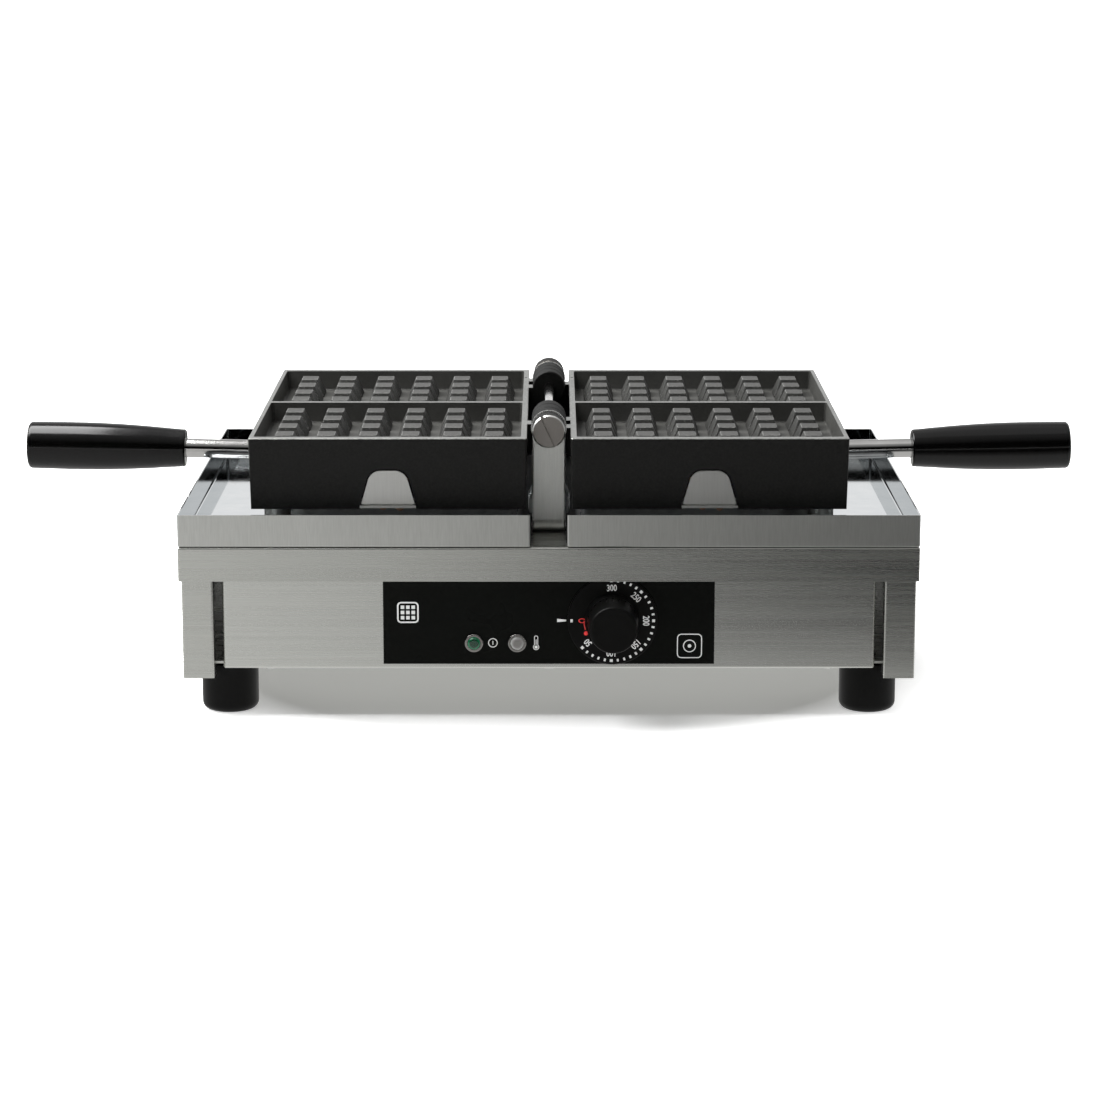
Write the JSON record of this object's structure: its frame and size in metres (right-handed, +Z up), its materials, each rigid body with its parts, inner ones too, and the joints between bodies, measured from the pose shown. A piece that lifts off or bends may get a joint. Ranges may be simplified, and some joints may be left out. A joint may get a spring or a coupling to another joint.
{
  "type": "waffle iron",
  "caption": "Counter-top waffle maker with cast-iron plates that open like a book on a central shaft, over drip trays on a stainless base with a thermostat dial.",
  "frame": {"origin": "centre of the part's footprint, on the surface it stands on", "axes": "+X to the right along the handles, -Y towards the user, +Z up"},
  "size_m": [0.66, 0.348, 0.1787],
  "materials": {
    "brushed_stainless": "brushed stainless sheet",
    "tray_stainless": "brushed outside, polished inside",
    "bracket_steel": "satin stainless bar",
    "polished_steel": "turned and polished steel",
    "cast_iron": "black enamelled cast iron, fine grain, rim machined",
    "waffle_grid": "black cast iron, fine grain",
    "cover_steel": "satin sheet steel",
    "element_sheath": "heat-darkened tubular element sheath",
    "ceramic": "steatite ceramic, light brown",
    "black_bakelite": "moulded black phenolic, polished",
    "black_plastic": "moulded black plastic",
    "gland_plastic": "moulded black polyamide",
    "fascia_film": "glossy black overlay with white print",
    "green_lens": "translucent green lens",
    "clear_lens": "translucent clear lens",
    "rubber": "moulded black rubber",
    "zinc_steel": "bright zinc-plated fasteners",
    "black_sheet": "black powder-coated sheet steel",
    "white_ceramic": "white ceramic terminal strip"
  },
  "bodies": {
    "base": {"body_cover": "brushed_stainless", "left_side_panel": "brushed_stainless", "right_side_panel": "brushed_stainless", "front_panel": "brushed_stainless", "rear_panel": "brushed_stainless", "bottom_pan": "brushed_stainless", "front_left_foot": "rubber", "front_right_foot": "rubber", "rear_left_foot": "rubber", "rear_right_foot": "rubber", "foot_screws": "zinc_steel", "base_screws": "zinc_steel", "fascia_label": "fascia_film", "power_lamp_bezel": "zinc_steel", "power_lamp_lens": "green_lens", "heat_lamp_bezel": "zinc_steel", "heat_lamp_lens": "clear_lens", "thermostat_body": "black_plastic", "safety_cutout": "white_ceramic", "terminal_block": "white_ceramic", "cable_gland": "gland_plastic", "gland_nut": "gland_plastic", "hinge_bracket": "bracket_steel", "bracket_bolts": "zinc_steel", "bracket_nuts": "zinc_steel", "hinge_shaft": "polished_steel", "front_shaft_cap": "polished_steel", "rear_shaft_cap": "polished_steel", "shaft_washers": "polished_steel", "lead_conduit": "polished_steel", "rear_guard": "black_sheet", "guard_screw": "zinc_steel"},
    "dial": {"dial_skirt": "black_plastic", "dial_knob": "black_plastic", "thermostat_shaft": "polished_steel"},
    "left_tray": {"left_drip_tray": "tray_stainless"},
    "left_iron": {"left_casting": "cast_iron", "left_waffle_studs": "waffle_grid", "left_bottom_cover": "cover_steel", "left_heating_element": "element_sheath", "left_element_clamp": "cover_steel", "left_terminal_cover": "bracket_steel", "left_terminals": "ceramic", "left_rest_feet": "cover_steel", "left_handle_rod": "polished_steel", "left_handle_grip": "black_bakelite", "left_cover_screws": "zinc_steel"},
    "right_tray": {"right_drip_tray": "tray_stainless"},
    "right_iron": {"right_casting": "cast_iron", "right_waffle_studs": "waffle_grid", "right_bottom_cover": "cover_steel", "right_heating_element": "element_sheath", "right_element_clamp": "cover_steel", "right_terminal_cover": "bracket_steel", "right_terminals": "ceramic", "right_rest_feet": "cover_steel", "right_handle_rod": "polished_steel", "right_handle_grip": "black_bakelite", "right_cover_screws": "zinc_steel"}
  },
  "joints": [
    {"name": "left_plate_hinge", "type": "hinge", "parent": "base", "child": "left_iron", "pos_m": [0, 0, 0.168], "axis": [0, 1, 0], "range_deg": [0, 180]},
    {"name": "right_plate_hinge", "type": "hinge", "parent": "base", "child": "right_iron", "pos_m": [0, 0, 0.168], "axis": [0, -1, 0], "range_deg": [0, 180]},
    {"name": "thermostat_dial", "type": "hinge", "parent": "base", "child": "dial", "pos_m": [0.038, -0.15, 0.06], "axis": [0, 1, 0], "range_deg": [0, 270]},
    {"name": "left_tray_slide", "type": "slide", "parent": "base", "child": "left_tray", "axis": [0, -1, 0], "range_m": [0, 0.035]},
    {"name": "right_tray_slide", "type": "slide", "parent": "base", "child": "right_tray", "axis": [0, -1, 0], "range_m": [0, 0.035]}
  ]
}
